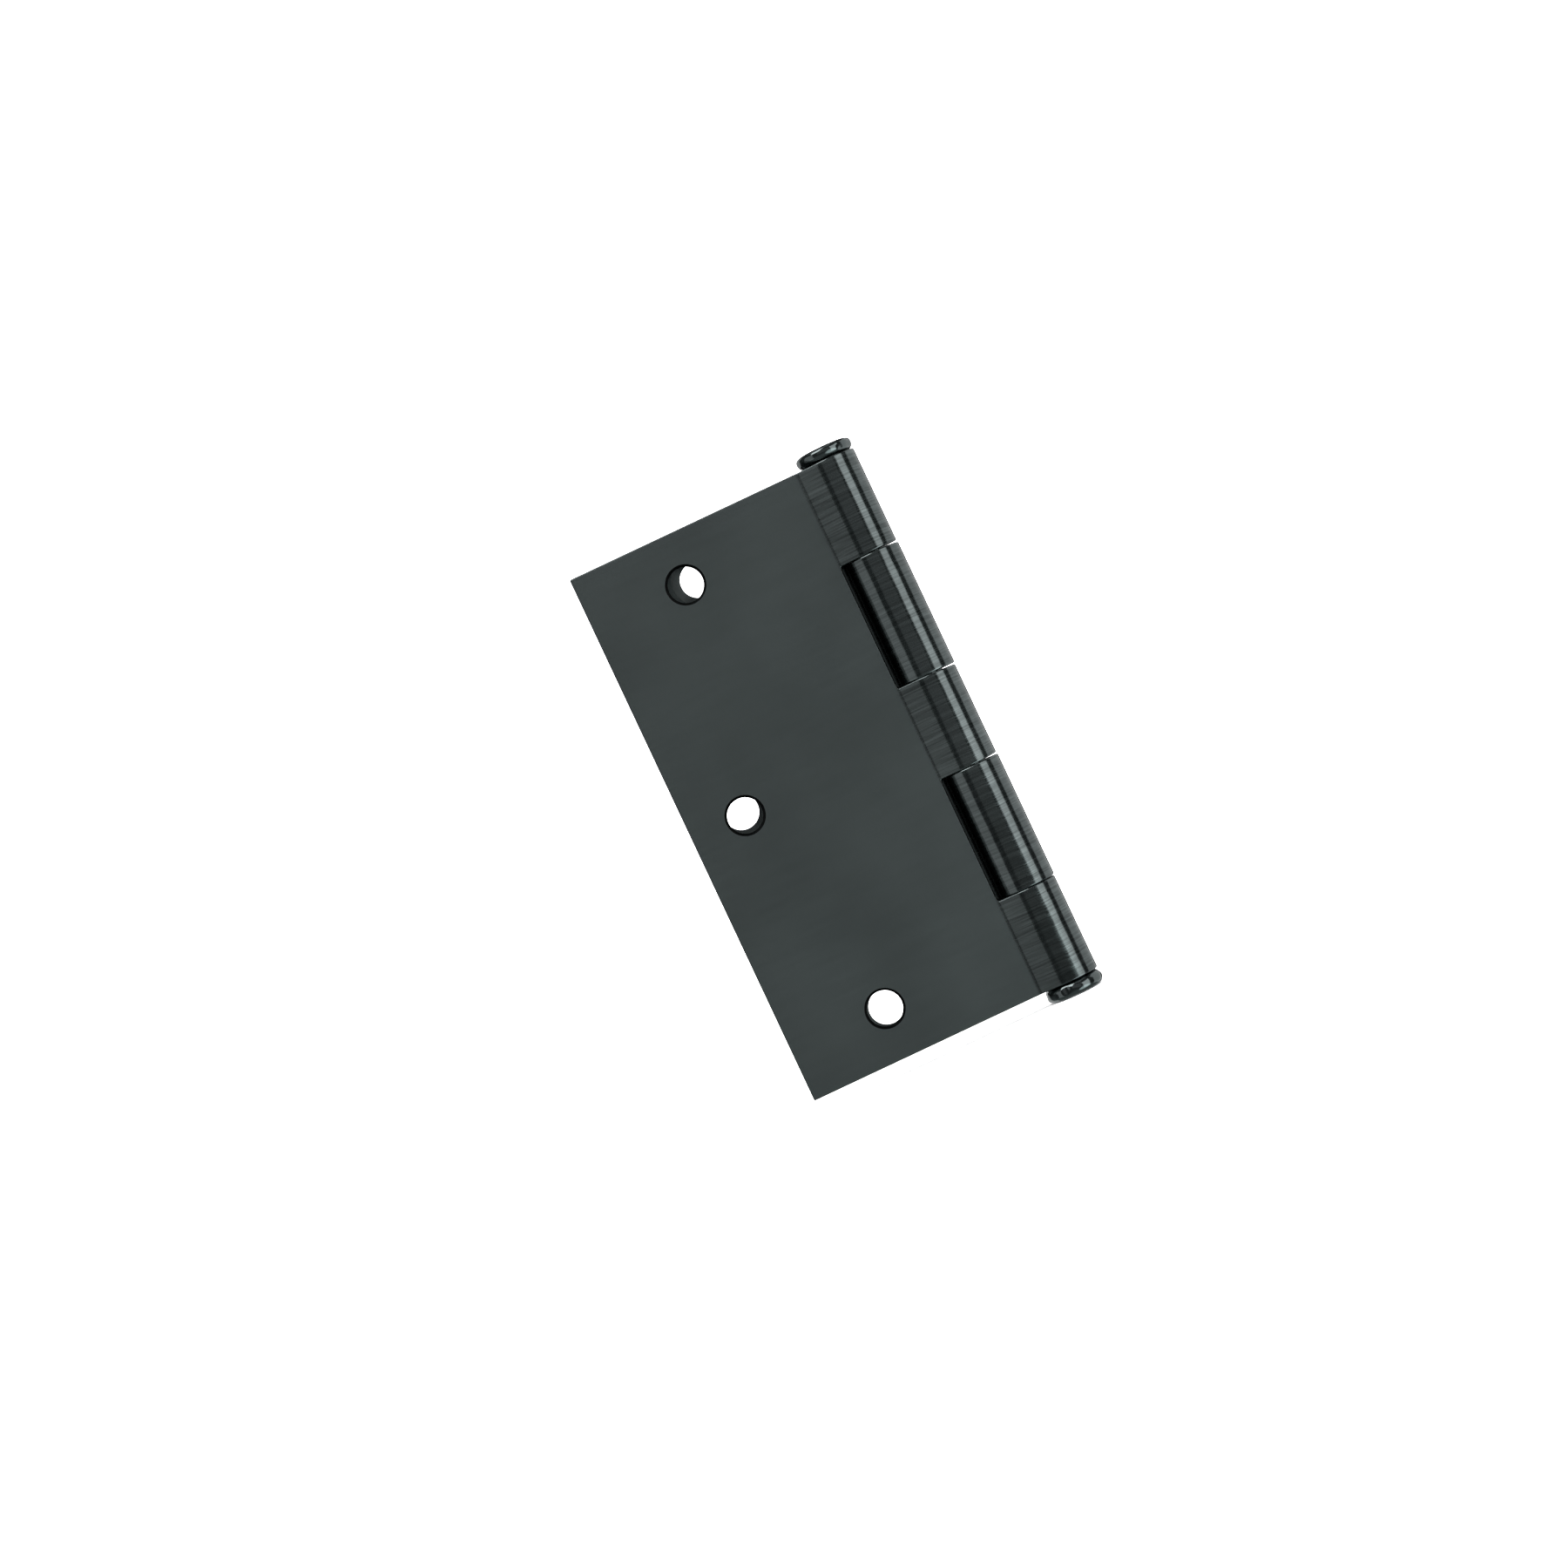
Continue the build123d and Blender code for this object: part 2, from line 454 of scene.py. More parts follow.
def black_plated_sheet(finish):
    """Cold-rolled steel sheet, stamped and plated black."""
    # what the eye gets: a dark satin metal with a green-grey cast, whose flats scatter light
    # softly, while the knuckles, burnished by the rolling die, show long bright streaks
    material, tree, place = new_material("black_plated_steel_sheet")

    # how far along the sheet: 1 where the die has rolled it, 1 from the bend on, 1 in the bend
    along = add(tree, "ShaderNodeAttribute", attribute_name="rolled").outputs["Fac"]
    burnished = add(
        tree,
        "ShaderNodeMapRange",
        {"Value": along, "From Min": BURNISHED_FROM, "From Max": BURNISHED_FULLY},
        interpolation_type="SMOOTHSTEP",
    ).outputs[0]
    worked = add(
        tree,
        "ShaderNodeMapRange",
        {"Value": along, "From Min": WORKED_FROM, "From Max": WORKED_FULLY},
        interpolation_type="SMOOTHSTEP",
    ).outputs[0]
    from_bend = add(
        tree, "ShaderNodeMath", {0: along, 1: BEND_AT}, operation="SUBTRACT"
    ).outputs[0]
    beside_bend = add(tree, "ShaderNodeMath", {0: from_bend}, operation="ABSOLUTE").outputs[0]
    pressed = add(
        tree,
        "ShaderNodeMapRange",
        {"Value": beside_bend, "From Min": PRESSED_TO, "From Max": PRESSED_FULLY},
        interpolation_type="SMOOTHSTEP",
    ).outputs[0]

    # 1 on the stamped edges, which tumbling has polished, but not on the cones of the holes
    cut = add(tree, "ShaderNodeAttribute", attribute_name="cut").outputs["Fac"]
    across = add(
        tree, "ShaderNodeMapRange", {"Value": cut, "From Min": 0.02, "From Max": 0.15}
    ).outputs[0]
    cone = add(
        tree, "ShaderNodeMath", {0: cut, 1: CONE_CUT, 2: CONE_SPREAD}, operation="COMPARE"
    ).outputs[0]
    edge = add(tree, "ShaderNodeMath", {0: across, 1: cone}, operation="SUBTRACT").outputs[0]

    # 1 where painted shade darkens the sheet nearly to black: on the tapered entries of the
    # punched holes, standing in for the shade of the hole walls and of the gap between the leaves,
    # and on the inside of the worked stretch, a recess that faces the pin
    depth = add(tree, "ShaderNodeAttribute", attribute_name="depth").outputs["Fac"]
    shallow = add(
        tree, "ShaderNodeMath", {0: depth, 1: screw_land * 1.2}, operation="LESS_THAN"
    ).outputs[0]
    entry = add(tree, "ShaderNodeMath", {0: cone, 1: shallow}, operation="MULTIPLY").outputs[0]
    behind = add(
        tree, "ShaderNodeMath", {0: depth, 1: sheet_thickness * 0.95}, operation="GREATER_THAN"
    ).outputs[0]
    inside = add(tree, "ShaderNodeMath", {0: behind, 1: worked}, operation="MULTIPLY").outputs[0]
    painted_shade = add(tree, "ShaderNodeMath", {0: entry, 1: inside}, operation="MAXIMUM").outputs[0]

    # rolling lines, about 9 mm long across the sheet: the real ones are some 0.05 mm apart, too
    # fine to show, so they are drawn 0.2 mm apart
    stretched = add(
        tree,
        "ShaderNodeMapping",
        {0: place, "Scale": (1 / (9 * MM), 1 / (9 * MM), 1 / (0.2 * MM))},
    ).outputs[0]
    lines = add(
        tree, "ShaderNodeTexNoise", {"Vector": stretched, "Scale": 1.0, "Detail": 3.0}
    ).outputs["Fac"]

    # the tumbled surface under the plating: its pits are some 0.05 mm across, too fine to show,
    # so they are drawn 0.5 mm across and soft
    pits = add(
        tree, "ShaderNodeTexNoise", {"Vector": place, "Scale": 1 / (0.5 * MM), "Detail": 2.0}
    ).outputs["Fac"]

    # the die leaves the roll slightly uneven, in waves about 4 mm long
    waves = add(
        tree, "ShaderNodeTexNoise", {"Vector": place, "Scale": 1 / (4 * MM), "Detail": 1.0}
    ).outputs["Fac"]

    # the plating bath leaves clouds about 20 mm across
    clouds = add(
        tree, "ShaderNodeTexNoise", {"Vector": place, "Scale": 1 / (20 * MM), "Detail": 2.0}
    ).outputs["Fac"]

    # colour: clouded all over, a tone apart on the flats, lined where the sheet was worked, and
    # darkened by painted shade in the hole entries and inside the worked stretch
    colour = Vector(finish.sheet_colour)
    clouded = add(
        tree, "ShaderNodeVectorMath", {0: colour, "Scale": clouds}, operation="SCALE"
    ).outputs[0]
    body = add(
        tree, "ShaderNodeVectorMath", {0: clouded, 1: (0.5,) * 3, 2: colour * 0.75},
        operation="MULTIPLY_ADD",
    ).outputs[0]
    dull = add(
        tree, "ShaderNodeMapRange", {"Value": burnished, "To Min": finish.flat_tone, "To Max": 1.0}
    ).outputs[0]
    line_tone = add(
        tree,
        "ShaderNodeMapRange",
        {
            "Value": lines,
            "From Min": 0.3,
            "From Max": 0.7,
            "To Min": -LINE_TONE,
            "To Max": LINE_TONE,
        },
    ).outputs[0]
    lined_tone = add(
        tree, "ShaderNodeMath", {0: line_tone, 1: worked, 2: dull}, operation="MULTIPLY_ADD"
    ).outputs[0]
    # painted shade: the masked faces are darkened to a small share of their tone
    painted_shade_tone = add(
        tree, "ShaderNodeMapRange", {"Value": painted_shade, "To Min": 1.0, "To Max": PAINTED_SHADE_TONE}
    ).outputs[0]
    tone = add(
        tree, "ShaderNodeMath", {0: lined_tone, 1: painted_shade_tone}, operation="MULTIPLY"
    ).outputs[0]
    painted = add(
        tree, "ShaderNodeVectorMath", {0: body, "Scale": tone}, operation="SCALE"
    ).outputs[0]

    gloss = add(
        tree,
        "ShaderNodeMapRange",
        {"Value": burnished, "To Min": finish.flat_roughness, "To Max": finish.knuckle_roughness},
    ).outputs[0]
    glossed = add(
        tree, "ShaderNodeMath", {0: pressed, 1: -PRESSED_GLOSS, 2: gloss}, operation="MULTIPLY_ADD"
    ).outputs[0]
    uneven = add(
        tree, "ShaderNodeMapRange", {"Value": lines, "To Min": -LINE_GLOSS, "To Max": LINE_GLOSS}
    ).outputs[0]
    faces = add(tree, "ShaderNodeMath", {0: glossed, 1: uneven}, operation="ADD").outputs[0]
    roughness = add(
        tree, "ShaderNodeMix", {"Factor": edge, "A": faces, "B": EDGE_ROUGHNESS}, data_type="FLOAT"
    ).outputs[0]

    line_depth = add(
        tree, "ShaderNodeMapRange", {"Value": worked, "To Min": 0.08, "To Max": 1.0}
    ).outputs[0]
    lined = add(
        tree,
        "ShaderNodeBump",
        {"Strength": line_depth, "Distance": 0.012 * MM, "Height": lines},
    ).outputs[0]
    waved = add(
        tree,
        "ShaderNodeBump",
        {"Strength": burnished, "Distance": 0.05 * MM, "Height": waves, "Normal": lined},
    ).outputs[0]
    pitted = add(
        tree,
        "ShaderNodeBump",
        {"Strength": 0.15, "Distance": 0.01 * MM, "Height": pits, "Normal": waved},
    ).outputs[0]

    shader = add(
        tree,
        "ShaderNodeBsdfPrincipled",
        {"Base Color": painted, "Metallic": 1.0, "Roughness": roughness, "Normal": pitted},
    )
    add(tree, "ShaderNodeOutputMaterial", {0: shader.outputs[0]})
    return material


TURNED_STEEL = "black_plated_turned_steel"
PIT_ROUGHNESS = 0.06  # to either side of the turned pieces' roughness


def black_plated_turning(finish):
    """Turned and headed steel wire, plated black."""
    # what the eye gets: a black metal glossier than the sheet, with small sharp highlights
    material, tree, place = new_material(TURNED_STEEL)

    # drawing lines along the wire, about 12 mm long: the real ones are some 0.03 mm apart, too
    # fine to show, so they are drawn 0.2 mm apart
    drawn = add(
        tree,
        "ShaderNodeMapping",
        {0: place, "Scale": (1 / (0.2 * MM), 1 / (0.2 * MM), 1 / (12 * MM))},
    ).outputs[0]
    lines = add(
        tree, "ShaderNodeTexNoise", {"Vector": drawn, "Scale": 1.0, "Detail": 2.0}
    ).outputs["Fac"]
    # pits of the tumbled wire, drawn 0.6 mm across because the real ones are too fine to show
    pits = add(
        tree, "ShaderNodeTexNoise", {"Vector": place, "Scale": 1 / (0.6 * MM), "Detail": 3.0}
    ).outputs["Fac"]
    roughness = add(
        tree,
        "ShaderNodeMapRange",
        {
            "Value": pits,
            "To Min": finish.pin_roughness - PIT_ROUGHNESS,
            "To Max": finish.pin_roughness + PIT_ROUGHNESS,
        },
    ).outputs[0]
    lined = add(
        tree, "ShaderNodeBump", {"Strength": 0.1, "Distance": 0.01 * MM, "Height": lines}
    ).outputs[0]
    pitted = add(
        tree,
        "ShaderNodeBump",
        {"Strength": 0.3, "Distance": 0.02 * MM, "Height": pits, "Normal": lined},
    ).outputs[0]
    shader = add(
        tree,
        "ShaderNodeBsdfPrincipled",
        {
            "Base Color": tuple(finish.pin_colour) + (1,),
            "Metallic": 1.0,
            "Roughness": roughness,
            "Normal": pitted,
        },
    )
    add(tree, "ShaderNodeOutputMaterial", {0: shader.outputs[0]})
    return material


def seamless_paper(colour):
    """A roll of pale background paper."""
    # what the eye gets: a matt near-white with a faint clouding of its fibres, 40 mm across
    material, tree, place = new_material("seamless_paper")
    fibre = add(
        tree, "ShaderNodeTexNoise", {"Vector": place, "Scale": 1 / (40 * MM), "Detail": 4.0}
    ).outputs["Fac"]
    shade = add(
        tree, "ShaderNodeMapRange", {"Value": fibre, "To Min": 0.97, "To Max": 1.0}
    ).outputs[0]
    tint = add(
        tree, "ShaderNodeVectorMath", {0: tuple(colour), "Scale": shade}, operation="SCALE"
    ).outputs[0]
    shader = add(
        tree,
        "ShaderNodeBsdfPrincipled",
        {"Base Color": tint, "Roughness": 0.9, "Specular IOR Level": 0.0},
    )
    add(tree, "ShaderNodeOutputMaterial", {0: shader.outputs[0]})
    return material


# ---------------------------------------------------------------- leaves


def bend_angle(sizes):
    """How far the sheet turns at the corner, so that its run meets the barrel in a tangent."""
    reach = barrel_radius + sizes.bend_clearance
    return math.asin(barrel_radius / math.hypot(reach, outer_face)) - math.atan2(outer_face, reach)


def bend_start(sizes):
    """Pin axis to where the flat sheet ends."""
    corner = barrel_radius + sizes.bend_clearance
    return corner + sizes.bend_radius * math.tan(bend_angle(sizes) / 2)


def developed_lengths(sizes):
    """Lengths of the bend, the straight run and the roll, along the sheet's middle."""
    turn = bend_angle(sizes)
    bend = turn * (sizes.bend_radius + sheet_thickness / 2)
    corner = math.hypot(barrel_radius + sizes.bend_clearance, outer_face)
    run = math.sqrt(corner**2 - barrel_radius**2) - sizes.bend_radius * math.tan(turn / 2)
    roll_turn = 2 * math.pi - math.acos((bore_radius - sizes.seam_gap) / barrel_radius)
    return bend, run, roll_turn * (barrel_radius - sheet_thickness / 2)


def airs():
    """The air beside each end of each knuckle: up from a top end, and down from a bottom end."""
    ends = sorted(knuckle_spans("jamb_leaf") + knuckle_spans("door_leaf"))
    found = {}
    for lower, upper in zip(ends, ends[1:]):
        found[lower[1]] = upper[0] - lower[1]
        found[upper[0]] = lower[1] - upper[0]
    return found


def leaf_blank(spans, flare, fillet, sizes):
    """The flat blank of a leaf as stamped, with a finger for each knuckle."""
    bend, run, roll = developed_lengths(sizes)
    corner = -(barrel_radius + sizes.notch_clearance)
    flat_end = -bend_start(sizes)
    bend_steps, run_steps = 12, 5
    columns = [flat_end + bend * step / bend_steps for step in range(bend_steps + 1)]
    columns = [x for x in columns if x > corner + 0.02 * MM]
    columns += [flat_end + bend + run * step / run_steps for step in range(1, run_steps + 1)]
    roll_start = flat_end + bend + run
    columns += [
        roll_start + roll * step / sizes.roll_steps for step in range(1, sizes.roll_steps + 1)
    ]
    columns.insert(0, corner)

    plan = bmesh.new()
    points = {}

    def point(x, z):
        key = (round(x, 7), round(z, 7))
        if key not in points:
            points[key] = plan.verts.new((x, -outer_face, z))
        return points[key]

    def cell(x_from, x_to, z_from, z_to):
        plan.faces.new(
            [point(x_from, z_from), point(x_to, z_from), point(x_to, z_to), point(x_from, z_to)]
        )

    heights = levels([-leaf_top, leaf_top, *(height for span in spans for height in span)])
    for bottom, top in zip(heights, heights[1:]):
        cell(free_edge, corner, bottom, top)
        middle = (bottom + top) / 2
        if any(low < middle < high for low, high in spans):
            for x_from, x_to in zip(columns, columns[1:]):
                cell(x_from, x_to, bottom, top)
    # a finger is wider at its root and at its curled end, and filleted into the notch beside it
    curl_start = roll_start + roll - CURL_REACH
    beside = airs()
    for (x, z), vertex in points.items():
        wider = next((beside[end] for end in beside if abs(end - z) < 0.001 * MM), 0.0)
        if wider and x > corner - 0.001 * MM:
            near_root = (roll_start + ROOT_RUN - x) / ROOT_RUN
            near_curl = (x - curl_start) / CURL_RUN
            vertex.co.z += flare * wider * max(0.0, min(1.0, max(near_root, near_curl)))
            short = min(fillet, max(0.0, fillet - (x - corner)))
            vertex.co.z += math.copysign(fillet - math.sqrt(fillet**2 - short**2), wider)
    thick = bmesh.ops.extrude_face_region(plan, geom=plan.faces[:])
    moved = [item for item in thick["geom"] if isinstance(item, bmesh.types.BMVert)]
    bmesh.ops.translate(plan, verts=moved, vec=(0, sheet_thickness, 0))
    bmesh.ops.recalc_face_normals(plan, faces=plan.faces)
    mesh = bpy.data.meshes.new("leaf_blank")
    plan.to_mesh(mesh)
    plan.free()
    return mesh


def punch_tree(material):
    """Geometry Nodes: punches and countersinks three screw holes in a flat leaf."""
    tree, given = modelling_tree(
        "Punch screw holes",
        {
            "Entry radius": "NodeSocketFloat",
            "Waist radius": "NodeSocketFloat",
            "Waist depth": "NodeSocketFloat",
            "Sink depth": "NodeSocketFloat",
            "Sink radius": "NodeSocketFloat",
            "Top hole": "NodeSocketVector",
            "Middle hole": "NodeSocketVector",
            "Bottom hole": "NodeSocketVector",
        },
    )
    # the punch: a bar up to the outer face, a taper to the waist, and a cone past the inner face
    disc = add(
        tree,
        "GeometryNodeMeshCircle",
        {"Vertices": 96, "Radius": given["Entry radius"]},
        fill_type="NGON",
    ).outputs[0]
    low_disc = add(
        tree, "GeometryNodeTransform", {0: disc, "Translation": (0, 0, -PUNCH_PAST)}
    ).outputs[0]
    wide, top = low_disc, True
    radius = given["Entry radius"]
    for length, end_radius in (
        (PUNCH_PAST, given["Entry radius"]),
        (given["Waist depth"], given["Waist radius"]),
        (given["Sink depth"], given["Sink radius"]),
    ):
        drawn = add(
            tree,
            "GeometryNodeExtrudeMesh",
            {
                "Mesh": wide,
                "Selection": top,
                "Offset": (0, 0, 1),
                "Offset Scale": length,
                "Individual": False,
            },
        ).outputs
        widening = add(
            tree, "ShaderNodeMath", {0: end_radius, 1: radius}, operation="DIVIDE"
        ).outputs[0]
        wide = add(
            tree,
            "GeometryNodeScaleElements",
            {"Geometry": drawn[0], "Selection": drawn[1], "Scale": widening},
        ).outputs[0]
        top, radius = drawn[1], end_radius
    lid = add(tree, "GeometryNodeFlipFaces", {0: low_disc}).outputs[0]
    both = add(tree, "GeometryNodeJoinGeometry")
    tree.links.new(wide, both.inputs[0])
    tree.links.new(lid, both.inputs[0])
    punch = add(
        tree, "GeometryNodeMergeByDistance", {0: both.outputs[0], "Distance": 0.001 * MM}
    ).outputs[0]

    places = add(tree, "GeometryNodeJoinGeometry")
    for hole in ("Top hole", "Middle hole", "Bottom hole"):
        spot = add(tree, "GeometryNodePoints", {"Count": 1, "Position": given[hole]}).outputs[0]
        tree.links.new(spot, places.inputs[0])
    punches = add(
        tree,
        "GeometryNodeInstanceOnPoints",
        {"Points": places.outputs[0], "Instance": punch, "Rotation": (-math.pi / 2, 0, 0)},
    ).outputs[0]
    real = add(tree, "GeometryNodeRealizeInstances", {0: punches}).outputs[0]
    holed = add(
        tree,
        "GeometryNodeMeshBoolean",
        {"Mesh 1": given["Geometry"], "Mesh 2": real},
        operation="DIFFERENCE",
        solver="EXACT",
    ).outputs[0]
    end_tree(tree, holed, material)
    return tree


def roll_tree(material):
    """Geometry Nodes: bends a leaf's fingers out of the sheet and rolls them round the pin."""
    tree, given = modelling_tree(
        "Roll the knuckles",
        {
            "Flat end": "NodeSocketFloat",
            "Outer face": "NodeSocketFloat",
            "Bend radius": "NodeSocketFloat",
            "Middle bend radius": "NodeSocketFloat",
            "Bend length": "NodeSocketFloat",
            "Straight run": "NodeSocketFloat",
            "Middle roll radius": "NodeSocketFloat",
            "Side": "NodeSocketFloat",
        },
    )
    place = add(tree, "GeometryNodeInputPosition").outputs[0]
    x, y, z = add(tree, "ShaderNodeSeparateXYZ", {0: place}).outputs
    past_flat = add(
        tree, "ShaderNodeMath", {0: x, 1: given["Flat end"]}, operation="SUBTRACT"
    ).outputs[0]
    in_bend = add(
        tree,
        "ShaderNodeClamp",
        {"Value": past_flat, "Min": 0.0, "Max": given["Bend length"]},
    ).outputs[0]
    to_roll = add(
        tree,
        "ShaderNodeMath",
        {0: given["Bend length"], 1: given["Straight run"]},
        operation="ADD",
    ).outputs[0]
    past_run = add(
        tree, "ShaderNodeMath", {0: past_flat, 1: to_roll}, operation="SUBTRACT"
    ).outputs[0]
    in_roll = add(tree, "ShaderNodeMath", {0: past_run, 1: 0.0}, operation="MAXIMUM").outputs[0]

    # the stretches that bend are first drawn back along the sheet, then turned
    used = add(tree, "ShaderNodeMath", {0: in_bend, 1: in_roll}, operation="ADD").outputs[0]
    drawn_x = add(tree, "ShaderNodeMath", {0: x, 1: used}, operation="SUBTRACT").outputs[0]
    drawn = add(tree, "ShaderNodeCombineXYZ", {0: drawn_x, 1: y, 2: z}).outputs[0]

    bend_low = add(
        tree,
        "ShaderNodeMath",
        {0: given["Outer face"], 1: given["Bend radius"]},
        operation="SUBTRACT",
    ).outputs[0]
    bend_centre = add(
        tree, "ShaderNodeCombineXYZ", {0: given["Flat end"], 1: bend_low}
    ).outputs[0]
    bend_turn = add(
        tree,
        "ShaderNodeMath",
        {0: in_bend, 1: given["Middle bend radius"]},
        operation="DIVIDE",
    ).outputs[0]
    bent = add(
        tree,
        "ShaderNodeVectorRotate",
        {"Vector": drawn, "Center": bend_centre, "Angle": bend_turn},
        rotation_type="Z_AXIS",
        invert=True,
    ).outputs[0]
    roll_turn = add(
        tree,
        "ShaderNodeMath",
        {0: in_roll, 1: given["Middle roll radius"]},
        operation="DIVIDE",
    ).outputs[0]
    rolled = add(
        tree,
        "ShaderNodeVectorRotate",
        {"Vector": bent, "Center": (0, 0, 0), "Angle": roll_turn},
        rotation_type="Z_AXIS",
    ).outputs[0]
    side = add(tree, "ShaderNodeCombineXYZ", {0: 1.0, 1: given["Side"], 2: 1.0}).outputs[0]
    sided = add(
        tree, "ShaderNodeVectorMath", {0: rolled, 1: side}, operation="MULTIPLY"
    ).outputs[0]
    # the finish follows the flat blank: how far each point lies past the start of the roll,
    # how squarely each face was cut across the sheet, and how deep it lies below the outer face
    facing = add(tree, "GeometryNodeInputNormal").outputs[0]
    towards_faces = add(tree, "ShaderNodeSeparateXYZ", {0: facing}).outputs[1]
    flatness = add(tree, "ShaderNodeMath", {0: towards_faces}, operation="ABSOLUTE").outputs[0]
    cut = add(tree, "ShaderNodeMath", {0: 1.0, 1: flatness}, operation="SUBTRACT").outputs[0]
    depth = add(
        tree, "ShaderNodeMath", {0: y, 1: given["Outer face"]}, operation="SUBTRACT"
    ).outputs[0]
    marked = given["Geometry"]
    for mark, value in (("rolled", past_run), ("cut", cut), ("depth", depth)):
        marked = add(
            tree,
            "GeometryNodeStoreNamedAttribute",
            {0: marked, "Name": mark, "Value": value},
            data_type="FLOAT",
            domain="POINT" if mark == "rolled" else "FACE",
        ).outputs[0]
    shaped = add(tree, "GeometryNodeSetPosition", {0: marked, "Position": sided}).outputs[0]
    end_tree(tree, shaped, material)
    return tree


def make_leaf(name, side, turned, flare, fillet, play, sizes, trees):
    """One leaf: stamped, countersunk, edges tumbled, knuckles rolled."""
    piece = linked(name + "_sheet", leaf_blank(knuckle_spans(name), flare, fillet, sizes))
    punch, roll = trees
    sink_depth = sheet_thickness - screw_land + PUNCH_PAST
    slope = math.tan(sizes.countersink_angle / 2)
    places = [(x, -outer_face, z) for x, z in hole_places(side)]
    tumbled = piece.modifiers.new("Tumbled edges", "BEVEL")
    tumbled.width = sizes.edge_round
    tumbled.segments = 3
    tumbled.limit_method = "ANGLE"
    tumbled.angle_limit = math.radians(35)
    tumbled.use_clamp_overlap = False
    use_tree(
        piece,
        punch,
        {
            "Entry radius": screw_radius + sizes.hole_entry,
            "Waist radius": screw_radius,
            "Waist depth": screw_land,
            "Sink depth": sink_depth,
            "Sink radius": screw_radius + slope * sink_depth,
            "Top hole": places[0],
            "Middle hole": places[1],
            "Bottom hole": places[2],
        },
    )
    bend, run, _ = developed_lengths(sizes)
    use_tree(
        piece,
        roll,
        {
            "Flat end": -bend_start(sizes),
            "Outer face": -outer_face,
            "Bend radius": sizes.bend_radius,
            "Middle bend radius": sizes.bend_radius + sheet_thickness / 2,
            "Bend length": bend,
            "Straight run": run,
            "Middle roll radius": barrel_radius - sheet_thickness / 2,
            "Side": turned,
        },
    )
    plain_mesh(piece).transform(Matrix.Translation((play, 0, 0)))
    finish_shading(piece)
    return piece


class HINGE_OT_leaves(bpy.types.Operator):
    """Makes the jamb leaf and the door leaf, rolled from sheet"""

    bl_idname = "hinge.leaves"
    bl_label = "Leaves"

    def execute(self, context):
        sizes = context.scene.hinge_leaves
        material = black_plated_sheet(context.scene.hinge_finish)
        trees = punch_tree(material), roll_tree(material)
        # the door leaf is the jamb leaf's mirror image, with plain roots and a little side play
        for node, side, turned, flare, fillet, play in (
            ("jamb_leaf", "jamb", 1.0, sizes.root_flare, sizes.root_fillet, 0.0),
            ("door_leaf", "door", -1.0, 0.0, 2 * sizes.root_fillet, sizes.side_play),
        ):
            piece = make_leaf(node, side, turned, flare, fillet, play, sizes, trees)
            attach(piece, node)
            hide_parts(node)
        return {"FINISHED"}


# ---------------------------------------------------------------- pin and tip


def arc(centre, radius, start, end, steps):
    """Points on an arc in the (radius, height) plane, angles in degrees."""
    turns = (math.radians(start + (end - start) * step / steps) for step in range(steps + 1))
    return [(centre[0] + radius * math.cos(t), centre[1] + radius * math.sin(t)) for t in turns]


def button_profile(radius, height, sizes):
    """Half section of a button, from its seat out over its edges to its crowned end."""
    rim = height - sizes.crown
    flat = radius - sizes.outer_round
    crown_radius = (flat**2 + sizes.crown**2) / (2 * sizes.crown)
    crown_turn = math.degrees(math.asin(flat / crown_radius))
    points = arc((radius - sizes.inner_round, sizes.inner_round), sizes.inner_round, -90, 0, 8)
    points += arc((flat, rim - sizes.outer_round), sizes.outer_round, 0, 90, 12)[0:-1]
    points += arc((0, height - crown_radius), crown_radius, 90 - crown_turn, 90, 14)
    return points


def turned_piece(name, profile, steps, place):
    """A piece turned from this (radius, height) section, moved to its place."""
    shell = bmesh.new()
    corners = [shell.verts.new((radius, 0, height)) for radius, height in profile]
    edges = [shell.edges.new(pair) for pair in zip(corners, corners[1:])]
    bmesh.ops.spin(
        shell,
        geom=corners + edges,
        cent=(0, 0, 0),
        axis=(0, 0, 1),
        angle=2 * math.pi,
        steps=steps,
        use_merge=True,
    )
    bmesh.ops.remove_doubles(shell, verts=shell.verts, dist=0.002 * MM)
    mesh = bpy.data.meshes.new(name)
    shell.to_mesh(mesh)
    shell.free()
    mesh.transform(place)
    return linked(name, mesh)


def hammer(mesh, low, high, depth, seed):
    """Dents the button between these heights, inwards only."""
    middle = Vector((0, 0, (low + high) / 2))
    for vertex in mesh.vertices:
        if low <= vertex.co.z <= high and vertex.co.xy.length > 0.01 * MM:
            dent = noise.noise(vertex.co / DENT_SIZE + Vector((0, 0, seed)))
            inward = (middle - vertex.co).normalized()
            share = vertex.co.xy.length / barrel_radius
            near_rim = max(0.0, min(1.0, (share - 1 + DENTED_SHARE) / DENTED_SHARE))
            vertex.co += inward * depth * near_rim * max(0.0, dent)


def turned_steel(finish):
    """The material that the pin and the tip share."""
    return bpy.data.materials.get(TURNED_STEEL) or black_plated_turning(finish)


